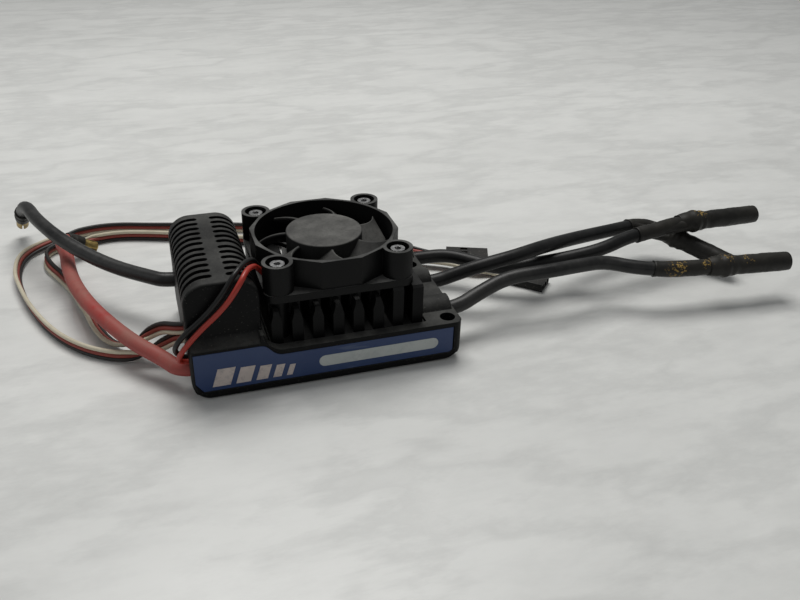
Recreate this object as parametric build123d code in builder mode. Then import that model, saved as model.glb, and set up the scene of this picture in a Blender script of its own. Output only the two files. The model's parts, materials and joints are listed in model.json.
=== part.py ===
"""Electronic speed controller for a brushless motor: a vented plastic case over a finned
heatsink with a 40 mm cooling fan, its boards and its leads. Millimetres, +Z up, +X from the
battery end to the motor end, origin at the middle of the case's underside."""

from build123d import *
from math import cos, pi, radians, sin, tan
import os

os.makedirs("parts", exist_ok=True)

# ---------------------------------------------------------------- driving dimensions
# Case
CASE_L, CASE_W = 73.2, 48.0
CASE_TOP = 11.8               # top of the rim round the heatsink
CASE_SPLIT = 2.0              # joint between the base plate and the cover
CASE_END_R = 5.0              # rounding under each end of the case
WALL = 1.6
CEILING = 10.4                # inside face of the cover's top
X_LEFT, X_RIGHT = -CASE_L / 2, CASE_L / 2
Y_FACE = CASE_W / 2

# Capacitor hood
HOOD_X1 = -17.6               # hood wall beside the fan
HOOD_W = 42.0
HOOD_TOP = 32.0
HOOD_EDGE_R = 6.0
SHOULDER_LOW, SHOULDER_HIGH = 14.9, 18.0
SLOT_COUNT, SLOT_PITCH, SLOT_W = 6, 3.05, 1.65
SLOT_FIRST = 1.74             # middle of the hood to the first slot each way
SPINE_X0, SPINE_X1 = -28.5, -25.1
SLOT_FLOOR = 24.5

# Fan
FAN_X, FAN_TOP, FAN_H, FAN_SIDE = 4.0, 33.0, 10.0, 40.0
FAN_BOTTOM = FAN_TOP - FAN_H
FAN_HOLE = 16.0               # fan centre to screw, each way
FAN_PLATE = 2.1
FAN_BORE_R = 18.8
HUB_R, BLADE_TIP_R, BLADE_COUNT = 10.4, 18.1, 7
SHAFT_R, BEARING_R = 1.0, 2.5
BEARING_Z0, BEARING_Z1 = 25.9, 30.5

# Heatsink
SINK_X0, SINK_X1 = -15.6, 26.5
SINK_BASE, SINK_LEDGE = 9.3, 10.4
FIN_COUNT, FIN_X, FIN_PITCH, FIN_T = 8, -13.7, 5.45, 3.0
FIN_END_Y = 20.7
FIN_NOTCH_Y, FIN_NOTCH_Z = 3.6, 2.2
BAY_X0, BAY_X1, BAY_Y = -15.9, 26.9, 21.1

# Boards
BOARD_Z, BOARD_T = 6.0, 1.6
BOARD_TOP = BOARD_Z + BOARD_T
LOGIC_Z, LOGIC_T = 3.6, 1.0

# Wires
WIRE_D = 4.3                  # power wires, silicone insulation
SLEEVE_D = 4.9                # heat-shrink over a power wire
BARREL_D = 5.8                # heat-shrink over a bullet connector
BULLET_D, BULLET_BORE = 5.0, 4.0
RIBBON_W, RIBBON_T = 3.6, 1.2
FAN_WIRE_D = 1.4
GLAND_Y = {"a": 18.8, "b": 3.0, "c": -13.2}
GLAND_Z, HUMP_R, HUMP_TOP = 9.3, 4.3, 14.2
CASE_CORNER_R = 2.0           # vertical corners of the case
MOTOR_START = 31.4
BATTERY_START = -32.4
HEADER_FACE = -34.0           # front of the signal header

# Case screws: head pockets open in the top of the cover
CASE_SCREWS = [(33.3, -20.5), (33.2, 11.0)]
POCKET_D, POCKET_FLOOR = 4.2, 6.5

NAMES = []


def write(part, label):
    """Label a finished piece and write its STEP file."""
    part.label = label
    export_step(part, f"parts/{label}.step")
    NAMES.append(label)


def bend_radii(points):
    """Largest even arc at each corner of a cord's route: 0.45 of the shorter run."""
    radii = []
    for before, corner, after in zip(points, points[1:], points[2:]):
        run_in, run_out = Vector(*corner) - Vector(*before), Vector(*after) - Vector(*corner)
        turn = run_in.get_angle(run_out)
        radii.append(0.45 * min(run_in.length, run_out.length) / tan(radians(turn) / 2))
    return radii


def report_cord(label, solid, line, section):
    """Print a cord's length, tightest bend and how its volume compares with its section."""
    print(f"{label}: length {line.length:.1f}, solid/section {solid.volume / (section * line.length):.4f}")


def round_cord(label, points, diameter, bore=0.0, radii=None):
    """A round cord, or a sleeve when it has a bore, along its route."""
    radii = radii or bend_radii(points)
    with BuildPart() as cord:
        with BuildLine():
            route = FilletPolyline(*points, radius=radii)
        with BuildSketch(Plane(origin=route @ 0, z_dir=route % 0)):
            Circle(diameter / 2)
            if bore:
                Circle(bore / 2, mode=Mode.SUBTRACT)
        sweep(path=route)
    report_cord(label, cord.part, route, pi * (diameter ** 2 - bore ** 2) / 4)
    print("   radii", [round(r, 1) for r in radii])
    return cord


def ribbon_cord(label, points):
    """A flat three-core lead, swept back from its plug so that it lies flat on the table."""
    points = points[::-1]
    with BuildPart() as cord:
        with BuildLine():
            route = FilletPolyline(*points, radius=bend_radii(points))
        start = route % 0
        across = Vector(0, 0, 1).cross(start)
        with BuildSketch(Plane(origin=route @ 0, x_dir=across, z_dir=start)):
            Rectangle(RIBBON_W, RIBBON_T)
        sweep(path=route)
    report_cord(label, cord.part, route, RIBBON_W * RIBBON_T)
    print("   radii", [round(r, 1) for r in bend_radii(points)])
    return cord


# ---------------------------------------------------------------- case
def end_profile(z_low, z_high):
    """Side outline of the case between two heights, with its rounded lower ends."""
    with BuildSketch(Plane.XZ) as outline:
        with Locations((0, 20)):
            Rectangle(CASE_L, 40)
        fillet(outline.vertices().group_by(Axis.Y)[0], radius=CASE_END_R)
        with Locations((0, (z_low + z_high) / 2)):
            Rectangle(CASE_L, z_high - z_low, mode=Mode.INTERSECT)
    return outline.sketch


def corner_block():
    """The case's outline with rounded corners, tall enough for either half."""
    with BuildPart() as block:
        with BuildSketch():
            RectangleRounded(CASE_L, CASE_W, CASE_CORNER_R)
        extrude(amount=40)
    return block.part


with BuildPart() as lower_case:
    with BuildSketch(Plane.XZ.offset(-Y_FACE)):
        add(end_profile(0, CASE_SPLIT))
    extrude(amount=CASE_W)
    chamfer(lower_case.faces().sort_by(Axis.Z)[0].edges().filter_by(Axis.X), length=0.6)
    add(corner_block(), mode=Mode.INTERSECT)
    # Lip that locates the cover from inside
    with BuildSketch(Plane.XY.offset(CASE_SPLIT)):
        Rectangle(CASE_L - 2 * WALL - 1.6, CASE_W - 2 * WALL - 0.4)
        Rectangle(CASE_L - 2 * WALL - 4.0, CASE_W - 2 * WALL - 2.8, mode=Mode.SUBTRACT)
    extrude(amount=1.4)
    # Posts under the power board, and bosses for the case screws
    with BuildSketch(Plane.XY.offset(CASE_SPLIT)):
        with Locations((-16, 18.6), (-16, -18.6), (26, 18.6), (26, -17.2)):
            Circle(1.8)
    extrude(amount=BOARD_Z - CASE_SPLIT)
    with BuildSketch(Plane.XY.offset(CASE_SPLIT)):
        with Locations(*CASE_SCREWS):
            Circle(1.6)
    extrude(amount=2.4)
    with Locations(*[(x, y, CASE_SPLIT + 2.4) for x, y in CASE_SCREWS]):
        Hole(radius=0.9, depth=3.6)
write(lower_case.part, "lower_case")

with BuildPart() as upper_cover:
    # Outer block, then the shoulder and hood over the capacitors
    with BuildSketch(Plane.XZ.offset(-Y_FACE)):
        add(end_profile(CASE_SPLIT, CASE_TOP))
    extrude(amount=CASE_W)
    with BuildSketch(Plane.YZ.offset(X_LEFT)):
        with BuildLine():
            half, face = HOOD_W / 2, Y_FACE
            Polyline((-face, CEILING), (-face, SHOULDER_LOW))
            RadiusArc((-face, SHOULDER_LOW), (-half, SHOULDER_HIGH), -3.1)
            Polyline((-half, SHOULDER_HIGH), (-half, HOOD_TOP), (half, HOOD_TOP), (half, SHOULDER_HIGH))
            RadiusArc((half, SHOULDER_HIGH), (face, SHOULDER_LOW), -3.1)
            Polyline((face, SHOULDER_LOW), (face, CEILING), (-face, CEILING))
        make_face()
    extrude(amount=HOOD_X1 - X_LEFT)
    long_edges = (upper_cover.edges().filter_by(Axis.Y)
                  .filter_by(lambda e: abs(e.center().Z - HOOD_TOP) < 0.01))
    fillet(long_edges, radius=HOOD_EDGE_R)
    # Curved walls that sweep down from the hood to the rim, one each side
    for side in (-1, 1):
        with BuildSketch(Plane.XZ.offset(-side * (Y_FACE - 1.4))):
            with Locations((HOOD_X1 + 2.1, CASE_TOP + 2.1)):
                Rectangle(6.2, 6.2)
            with Locations((HOOD_X1 + 5.2, CASE_TOP + 5.2)):
                Circle(5.2, mode=Mode.SUBTRACT)
        extrude(amount=1.4, both=True)
    # Half-round housings over the motor wires
    with BuildSketch(Plane.YZ.offset(BAY_X1)):
        with Locations(*[(y, HUMP_TOP - HUMP_R) for y in GLAND_Y.values()]):
            Circle(HUMP_R)
        with Locations((0, CASE_TOP - 10)):
            Rectangle(CASE_W, 20 - 0.4, mode=Mode.SUBTRACT)
    extrude(amount=X_RIGHT - BAY_X1 - 0.7)
    add(corner_block(), mode=Mode.INTERSECT)
    outline = upper_cover.edges().filter_by(
        lambda e: e.center().Z > HOOD_TOP - 3 and abs(abs(e.center().Y) - HOOD_W / 2) < 0.01)
    fillet(outline, radius=0.8)
    # Inside: main room, hood room and heatsink opening
    with BuildSketch(Plane.XZ.offset(-(Y_FACE - WALL))):
        with Locations((0, (CASE_SPLIT + CEILING) / 2)):
            Rectangle(CASE_L - 2 * WALL, CEILING - CASE_SPLIT)
    extrude(amount=CASE_W - 2 * WALL, mode=Mode.SUBTRACT)
    with BuildSketch(Plane.XZ.offset(-(HOOD_W / 2 - WALL))):
        with BuildLine():
            inner, deep = HOOD_EDGE_R - WALL, HOOD_TOP - WALL
            x0, x1 = X_LEFT + WALL, HOOD_X1 - WALL
            FilletPolyline((x0, CEILING - 1), (x0, deep), (x1, deep), (x1, CEILING - 1),
                           radius=inner)
            Line((x1, CEILING - 1), (x0, CEILING - 1))
        make_face()
    extrude(amount=HOOD_W - 2 * WALL, mode=Mode.SUBTRACT)
    with BuildSketch(Plane.XY.offset(CEILING - 1)):
        with Locations(((BAY_X0 + BAY_X1) / 2, 0)):
            Rectangle(BAY_X1 - BAY_X0, 2 * BAY_Y)
    extrude(amount=4, mode=Mode.SUBTRACT)
    # Vent slots: six each side of the middle, both sides of the spine, over the rounded edges
    rows = [s * (SLOT_FIRST + SLOT_PITCH * k) for k in range(SLOT_COUNT) for s in (-1, 1)]
    for x_outer, x_spine in ((X_LEFT - 2, SPINE_X0), (HOOD_X1 + 2, SPINE_X1)):
        with BuildSketch(Plane.XY.offset(HOOD_TOP + 1)):
            with Locations(*[((x_outer + x_spine) / 2, y) for y in rows]):
                RectangleRounded(abs(x_outer - x_spine), SLOT_W, SLOT_W / 2 - 0.01)
        extrude(amount=-(HOOD_TOP + 1 - SLOT_FLOOR), mode=Mode.SUBTRACT)
    # Screw posts with head pockets
    with BuildSketch(Plane.XY.offset(4.8)):
        with Locations(*CASE_SCREWS):
            Circle(3.1)
        Rectangle(CASE_L - WALL, CASE_W - WALL, mode=Mode.INTERSECT)
    extrude(amount=CASE_TOP - 4.8)
    with Locations(*[(x, y, CASE_TOP) for x, y in CASE_SCREWS]):
        CounterBoreHole(radius=1.15, counter_bore_radius=POCKET_D / 2,
                        counter_bore_depth=CASE_TOP - POCKET_FLOOR, depth=9)
    # Wire channels through the motor end
    with BuildSketch(Plane.YZ.offset(BAY_X1 + 2.2)):
        with Locations(*[(y, GLAND_Z) for y in GLAND_Y.values()]):
            Circle(WIRE_D / 2 + 0.1)
    extrude(amount=12, mode=Mode.SUBTRACT)
    # Openings in the battery end: two power wires, the signal leads and the fan lead
    with BuildSketch(Plane.YZ.offset(X_LEFT - 2)):
        with Locations((-18.0, 6.2), (16.8, 14.0)):
            Circle(WIRE_D / 2 + 0.3)
        with Locations((-18.6, 9.3)):
            Rectangle(3.8, 2.1)
        with Locations((-9.0, 12.0)):
            RectangleRounded(5.0, 5.2, 0.5)
    extrude(amount=4, mode=Mode.SUBTRACT)
    # Shallow recess for the side label
    with BuildSketch(Plane.XZ.offset(Y_FACE)):
        with BuildLine():
            Polyline((-35.9, 5.0), (-35.9, 13.9), (-18.9, 13.9))
            Spline((-18.9, 13.9), (-16.0, 12.3), (-13.0, 10.5), tangents=[(1, 0), (1, -0.1)])
            Polyline((-13.0, 10.5), (34.1, 10.5), (34.1, 3.0), (33.2, 2.3), (-33.9, 2.3), (-35.9, 5.0))
        make_face()
    extrude(amount=-0.45, mode=Mode.SUBTRACT)
write(upper_cover.part, "upper_cover")

with BuildPart() as side_label:
    with BuildSketch(Plane.XZ.offset(Y_FACE - 0.45)):
        with BuildLine():
            Polyline((-35.7, 5.1), (-35.7, 13.7), (-18.9, 13.7))
            Spline((-18.9, 13.7), (-16.1, 12.1), (-13.1, 10.3), tangents=[(1, 0), (1, -0.1)])
            Polyline((-13.1, 10.3), (33.9, 10.3), (33.9, 3.1), (33.1, 2.5), (-33.8, 2.5), (-35.7, 5.1))
        make_face()
    extrude(amount=0.3)
write(side_label.part, "side_label")

# ---------------------------------------------------------------- heatsink
with BuildPart() as heatsink:
    middle = (SINK_X0 + SINK_X1) / 2
    with BuildSketch(Plane.XY.offset(SINK_BASE)):
        with Locations((middle, 0)):
            Rectangle(SINK_X1 - SINK_X0 + 2.4, 2 * BAY_Y + 1.8)
    extrude(amount=SINK_LEDGE - SINK_BASE)
    with BuildSketch(Plane.XY.offset(SINK_LEDGE)):
        with Locations((middle, 0)):
            Rectangle(SINK_X1 - SINK_X0, 2 * FIN_END_Y)
    extrude(amount=1.2)
    # Fins: the first six are cut down and narrowed where their front ends meet the fan
    for k in range(FIN_COUNT):
        start, cut = FIN_X + FIN_PITCH * k - FIN_T / 2, 0.7
        top = FAN_BOTTOM - (FIN_NOTCH_Z if k < 6 else 0)
        with BuildSketch(Plane.YZ.offset(start)):
            with BuildLine():
                Polyline((-FIN_END_Y, SINK_LEDGE), (-FIN_END_Y, top - cut), (-FIN_END_Y + cut, top),
                         (-FIN_END_Y + FIN_NOTCH_Y, top), (-FIN_END_Y + FIN_NOTCH_Y + 0.01, FAN_BOTTOM),
                         (FIN_END_Y - cut, FAN_BOTTOM), (FIN_END_Y, FAN_BOTTOM - cut),
                         (FIN_END_Y, SINK_LEDGE), close=True)
            make_face()
        extrude(amount=FIN_T)
        if k < 6:
            with BuildSketch(Plane.XZ.offset(FIN_END_Y)):
                for side, inner in ((start, start + 0.8), (start + FIN_T, start + FIN_T - 0.8)):
                    with BuildLine():
                        Polyline((side, top - 3.0), (side, top), (inner, top), close=True)
                    make_face()
            extrude(amount=-FIN_NOTCH_Y, mode=Mode.SUBTRACT)
    # Pillars that take the fan screws
    with BuildSketch(Plane.XY.offset(SINK_LEDGE)):
        with Locations((FAN_X, 0)):
            with GridLocations(2 * FAN_HOLE, 2 * FAN_HOLE, 2, 2):
                Circle(2.4)
    extrude(amount=FAN_BOTTOM - SINK_LEDGE)
    with Locations((FAN_X, 0, FAN_BOTTOM)):
        with GridLocations(2 * FAN_HOLE, 2 * FAN_HOLE, 2, 2):
            Hole(radius=1.0, depth=9)
write(heatsink.part, "heatsink")

with BuildPart() as thermal_pad:
    with BuildSketch(Plane.XY.offset(SINK_BASE - 0.5)):
        with Locations((5.5, 0)):
            Rectangle(39, 36)
    extrude(amount=0.5)
write(thermal_pad.part, "thermal_pad")

# ---------------------------------------------------------------- fan frame
with BuildPart() as fan_frame:
    centre = (FAN_X, 0)
    with BuildSketch(Plane.XY.offset(FAN_BOTTOM)):
        with Locations(centre):
            RectangleRounded(FAN_SIDE, FAN_SIDE, 3.2)
            Circle(FAN_BORE_R, mode=Mode.SUBTRACT)
    extrude(amount=FAN_PLATE)
    # Twelve-sided duct wall and corner tubes
    with BuildSketch(Plane.XY.offset(FAN_BOTTOM)):
        with Locations(centre):
            RegularPolygon(20.3, 12, rotation=15)
            with GridLocations(2 * FAN_HOLE, 2 * FAN_HOLE, 2, 2):
                Circle(4.0)
            Rectangle(FAN_SIDE, FAN_SIDE, mode=Mode.INTERSECT)
            Circle(FAN_BORE_R, mode=Mode.SUBTRACT)
    extrude(amount=FAN_H)
    # Motor seat, four struts and the bearing tube
    with BuildSketch(Plane.XY.offset(FAN_BOTTOM)):
        with Locations(centre):
            Circle(HUB_R - 0.2)
            with PolarLocations(14.5, 4, start_angle=37):
                Rectangle(11, 1.9)
            Circle(FAN_BORE_R + 0.3, mode=Mode.INTERSECT)
    extrude(amount=1.3)
    with BuildSketch(Plane.XY.offset(FAN_BOTTOM + 1.3)):
        with Locations(centre):
            Circle(BEARING_R + 0.8)
    extrude(amount=BEARING_Z1 - FAN_BOTTOM - 1.3)
    with Locations((FAN_X, 0, BEARING_Z1)):
        Hole(radius=BEARING_R, depth=BEARING_Z1 - FAN_BOTTOM - 1.3)
    # Screw holes with deep pockets for the socket heads
    with Locations((FAN_X, 0, FAN_TOP)):
        with GridLocations(2 * FAN_HOLE, 2 * FAN_HOLE, 2, 2):
            CounterBoreHole(radius=1.2, counter_bore_radius=3.0, counter_bore_depth=2.4)
    # Notch where the fan's lead leaves
    with Locations((FAN_X - 19.5, -11.6, FAN_BOTTOM + 5.4)):
        Box(4.4, 4.6, 2.6, mode=Mode.SUBTRACT)
write(fan_frame.part, "fan_frame")

with BuildPart() as fan_rotor:
    hub_low, hub_top = FAN_BOTTOM + 2.0, FAN_TOP - 0.4
    with BuildSketch(Plane.XY.offset(hub_low)):
        with Locations((FAN_X, 0)):
            Circle(HUB_R)
    extrude(amount=hub_top - hub_low)
    fillet(fan_rotor.faces().sort_by(Axis.Z)[-1].edges(), radius=0.35)
    with Locations((FAN_X, 0, hub_low)):
        Hole(radius=HUB_R - 1.0, depth=hub_top - hub_low - 1.1)
    # Blades: lofted from the hub to the tip, swept back and flatter towards the tip
    for k in range(BLADE_COUNT):
        turn = 360 / BLADE_COUNT * k - 6
        with BuildSketch(*[
            Plane(origin=(FAN_X + r * cos(radians(turn + lag)), r * sin(radians(turn + lag)), 28.6),
                  x_dir=(-sin(radians(turn + lag)) * cos(radians(tilt)),
                         cos(radians(turn + lag)) * cos(radians(tilt)), sin(radians(tilt))),
                  z_dir=(cos(radians(turn + lag)), sin(radians(turn + lag)), 0))
            for r, lag, tilt in ((HUB_R - 0.6, 0, 41), (13.0, 5, 36), (BLADE_TIP_R - 0.6, 20, 30))
        ]):
            RectangleRounded(8.8, 0.9, 0.4)
        loft()
    # Boss that grips the shaft
    with BuildSketch(Plane.XY.offset(BEARING_Z1 + 0.4)):
        with Locations((FAN_X, 0)):
            Circle(2.4)
    extrude(amount=hub_top - BEARING_Z1 - 0.8)
    with Locations((FAN_X, 0, BEARING_Z1 + 0.4)):
        Hole(radius=SHAFT_R, depth=1.4)
write(fan_rotor.part, "fan_rotor")

with BuildPart() as fan_shaft:
    with BuildSketch(Plane.XY.offset(FAN_BOTTOM + 1.7)):
        with Locations((FAN_X, 0)):
            Circle(SHAFT_R)
    extrude(amount=BEARING_Z1 + 1.2 - FAN_BOTTOM - 1.7)
write(fan_shaft.part, "fan_shaft")


def fan_ring(label, outer, inner, z_low, z_high):
    """A plain ring on the fan's axis."""
    with BuildPart() as ring:
        with BuildSketch(Plane.XY.offset(z_low)):
            with Locations((FAN_X, 0)):
                Circle(outer)
                Circle(inner, mode=Mode.SUBTRACT)
        extrude(amount=z_high - z_low)
    write(ring.part, label)


fan_ring("fan_bearing", BEARING_R, SHAFT_R + 0.04, BEARING_Z0, BEARING_Z1)
fan_ring("fan_magnet", HUB_R - 1.0, HUB_R - 2.0, 25.8, 30.6)
fan_ring("fan_shaft_clip", 1.9, SHAFT_R, 25.0, 25.3)
fan_ring("fan_board", 8.0, BEARING_R + 0.8, FAN_BOTTOM + 1.3, FAN_BOTTOM + 2.1)

with BuildPart() as fan_stator:
    with BuildSketch(Plane.XY.offset(26.6)):
        with Locations((FAN_X, 0)):
            Circle(4.2)
            with PolarLocations(5.4, 4, start_angle=45):
                Rectangle(3.6, 1.8)
            with PolarLocations(7.2, 4, start_angle=45):
                Rectangle(0.9, 6.4)
            Circle(BEARING_R + 0.8, mode=Mode.SUBTRACT)
    extrude(amount=2.0)
write(fan_stator.part, "fan_stator")

with BuildPart() as fan_coils:
    for k in range(4):
        angle = radians(45 + 90 * k)
        across = Plane(origin=(FAN_X + 5.5 * cos(angle), 5.5 * sin(angle), 27.6),
                       z_dir=(cos(angle), sin(angle), 0), x_dir=(-sin(angle), cos(angle), 0))
        with BuildSketch(across):
            Rectangle(3.4, 3.6)
            Rectangle(1.8, 2.0, mode=Mode.SUBTRACT)
        extrude(amount=1.0, both=True)
write(fan_coils.part, "fan_coils")


def socket_screws(label, places, head_z, head_r, head_h, thread_r, length):
    """Identical socket-head screws, heads up, their undersides at head_z."""
    with BuildPart() as screws:
        with BuildSketch(Plane.XY.offset(head_z)):
            with Locations(*places):
                Circle(head_r)
        extrude(amount=head_h)
        with BuildSketch(Plane.XY.offset(head_z)):
            with Locations(*places):
                Circle(thread_r)
        extrude(amount=-length)
        with BuildSketch(Plane.XY.offset(head_z + head_h)):
            with Locations(*places):
                RegularPolygon(head_r * 0.5, 6)
        extrude(amount=-head_h * 0.55, mode=Mode.SUBTRACT)
    write(screws.part, label)


socket_screws("fan_screws", [(FAN_X + sx * FAN_HOLE, sy * FAN_HOLE) for sx in (-1, 1) for sy in (-1, 1)],
              FAN_TOP - 2.4, 1.9, 1.9, 0.98, 15.5)
socket_screws("case_screws", CASE_SCREWS, POCKET_FLOOR, 1.8, 1.3, 0.88, 5.4)

# ---------------------------------------------------------------- electronics
with BuildPart() as power_board:
    with BuildSketch(Plane.XY.offset(BOARD_Z)):
        with Locations((-2.1, 0)):
            Rectangle(64.2, 42)
        # Corners cut away for the battery terminals
        with Locations((-32.2, -18.4), (-32.2, 16.4)):
            Rectangle(6.0, 9.6, mode=Mode.SUBTRACT)
    extrude(amount=BOARD_T)
write(power_board.part, "power_board")


def boxes(label, items):
    """Separate rectangular blocks in one node: (x, y, z_low, length, width, height)."""
    with BuildPart() as group:
        for x, y, z_low, length, width, height in items:
            with BuildSketch(Plane.XY.offset(z_low)):
                with Locations((x, y)):
                    Rectangle(length, width)
            extrude(amount=height)
    write(group.part, label)


boxes("control_board", [(11, 0, LOGIC_Z, 36, 28, LOGIC_T)])
boxes("microcontroller", [(4, 3, LOGIC_Z - 1.0, 7, 7, 1.0)])
boxes("optocouplers", [(22, y, LOGIC_Z - 1.3, 4.4, 3.6, 1.3) for y in (-7, 0)])
boxes("board_pins", [(x, y, LOGIC_Z + LOGIC_T, 0.64, 0.64, BOARD_Z - LOGIC_Z - LOGIC_T)
                     for x in (-5, 27) for y in (-10.16, -7.62, -5.08, 5.08, 7.62, 10.16)])
boxes("mosfets", [(x, y, BOARD_TOP, 6.0, 5.0, SINK_BASE - 0.5 - BOARD_TOP)
                  for x in (-10, 0, 10, 20) for y in (-13, -4.5, 4.5, 13)])
boxes("motor_terminals", [(MOTOR_START - 1.5, y, BOARD_TOP, 3.0, 4.0, 2.6) for y in GLAND_Y.values()])
boxes("battery_terminals", [(BATTERY_START + 1.0, -18.0, 4.4, 2.0, 4.4, 4.0),
                            (BATTERY_START + 1.0, 16.8, BOARD_Z, 2.0, 4.4, 9.9)])
boxes("signal_header", [(HEADER_FACE + 1.5, -9.0, BOARD_TOP, 3.0, 5.2, 6.8)])
boxes("fan_header", [(-27.8, -18.8, BOARD_TOP, 2.4, 3.8, 2.6)])

with BuildPart() as capacitors:
    with BuildSketch(Plane.XY.offset(BOARD_TOP)):
        with Locations(*[(-25.0, y) for y in (-12, 0, 12)]):
            Circle(5.0)
    extrude(amount=20)
    fillet(capacitors.faces().group_by(Axis.Z)[-1].edges(), radius=0.6)
write(capacitors.part, "capacitors")

# ---------------------------------------------------------------- motor leads
MOTOR_ROUTES = {
    "a": [(MOTOR_START, 18.8, GLAND_Z), (39.6, 18.8, GLAND_Z), (47.8, 17.2, 9.9), (54.9, 11.6, 9.3),
          (61.0, 5.9, 8.8), (70.0, 4.0, 10.0), (81.0, 2.2, 11.4), (92.5, 0.3, 13.8),
          (104.0, 3.6, 15.3), (114.5, 4.4, 15.8), (124.5, 7.2, 15.8), (135.3, 7.3, 15.6)],
    "b": [(MOTOR_START, 3.0, GLAND_Z), (38.8, 3.0, GLAND_Z), (45.0, 1.6, 11.9), (53.0, -0.7, 15.0),
          (62.5, -0.4, 16.2), (72.0, 2.6, 16.2), (82.0, 6.8, 15.0), (93.0, 10.6, 13.8),
          (104.5, 13.8, 12.8), (115.6, 17.3, 11.7), (122.8, 15.6, 10.4), (127.2, 9.3, 8.9)],
    "c": [(MOTOR_START, -13.2, GLAND_Z), (38.8, -13.2, GLAND_Z), (47.0, -10.8, 11.9), (56.5, -8.7, 14.3),
          (68.5, -10.0, 15.1), (80.5, -8.6, 14.7), (89.5, -7.4, 14.0), (97.0, -12.2, 13.3),
          (107.0, -15.4, 12.8), (118.0, -16.3, 12.5), (127.9, -17.2, 12.3)],
}
SLEEVE_FROM = {"a": 8, "b": 8, "c": 7}      # route point after which the heat-shrink begins
BULLET_L = 19.0


def between(p, q, share):
    """A point part of the way from p to q."""
    return tuple(a + (b - a) * share for a, b in zip(p, q))


for letter, route in MOTOR_ROUTES.items():
    wire = round_cord(f"motor_wire_{letter}", route, WIRE_D)
    write(wire.part, f"motor_wire_{letter}")
    back, end = Vector(*route[-1]), Vector(*route[-1]) - Vector(*route[-2])
    axis = end.normalized()
    first = SLEEVE_FROM[letter]
    covered = [between(route[first], route[first + 1], 0.5)] + route[first + 1:]
    sleeve = round_cord(f"motor_sleeve_{letter}", covered, SLEEVE_D, WIRE_D, bend_radii(route)[first:])
    write(sleeve.part, f"motor_sleeve_{letter}")
    # Bullet socket: solid back, bore open at the front
    with BuildPart() as bullet:
        with BuildSketch(Plane(origin=back, z_dir=axis)):
            Circle(BULLET_D / 2)
        extrude(amount=BULLET_L)
        with BuildSketch(Plane(origin=back + axis * BULLET_L, z_dir=axis)):
            Circle(BULLET_BORE / 2)
        extrude(amount=-14, mode=Mode.SUBTRACT)
    write(bullet.part, f"motor_bullet_{letter}")
    with BuildPart() as barrel:
        with BuildSketch(Plane(origin=back, z_dir=axis)):
            Circle(BARREL_D / 2)
            Circle(BULLET_D / 2, mode=Mode.SUBTRACT)
        extrude(amount=BULLET_L - 0.4)
    write(barrel.part, f"motor_barrel_cover_{letter}")

# ---------------------------------------------------------------- battery leads
BATTERY_ROUTES = {
    "positive": [(BATTERY_START, -18.0, 6.2), (-38.8, -18.0, 6.2), (-42.7, -11.6, 6.6), (-48.9, -5.1, 7.8),
                 (-55.0, 4.8, 8.8), (-60.8, 17.4, 9.2), (-64.7, 30.3, 8.9), (-66.8, 42.8, 8.6),
                 (-67.5, 53.6, 8.3), (-69.4, 61.6, 8.2), (-68.7, 66.1, 7.8), (-65.6, 66.8, 6.0)],
    "negative": [(BATTERY_START, 16.8, 14.0), (-39.0, 16.8, 14.0), (-43.4, 21.0, 13.8), (-50.6, 28.0, 13.5),
                 (-57.4, 35.0, 14.1), (-64.0, 42.7, 15.4), (-69.4, 50.6, 16.4), (-73.4, 58.6, 16.9),
                 (-76.6, 66.6, 16.9), (-78.7, 74.1, 16.8), (-81.1, 80.3, 14.6), (-82.2, 84.3, 10.0)],
}
for pole, route in BATTERY_ROUTES.items():
    wire = round_cord(f"battery_wire_{pole}", route, WIRE_D)
    write(wire.part, f"battery_wire_{pole}")
    back, end = Vector(*route[-1]), Vector(*route[-1]) - Vector(*route[-2])
    axis = end.normalized()
    with BuildPart() as cover:
        with BuildSketch(Plane(origin=back, z_dir=axis)):
            Circle(SLEEVE_D / 2)
        extrude(amount=2.6)
    write(cover.part, f"battery_sleeve_{pole}")
    # Bullet plug: collar, slotted spring barrel and a rounded nose
    nose = 5.0
    with BuildPart() as plug:
        with BuildSketch(Plane(origin=back + axis * 2.6, z_dir=axis)):
            Circle(2.0)
        extrude(amount=nose)
        fillet(plug.faces().sort_by(Axis(back, axis))[-1].edges(), radius=0.9)
        slot_plane = Plane(origin=back + axis * (2.6 + nose), z_dir=axis)
        with BuildSketch(slot_plane):
            Rectangle(0.5, 6)
            Rectangle(6, 0.5)
        extrude(amount=-nose * 0.7, mode=Mode.SUBTRACT)
    write(plug.part, f"battery_bullet_{pole}")

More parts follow.
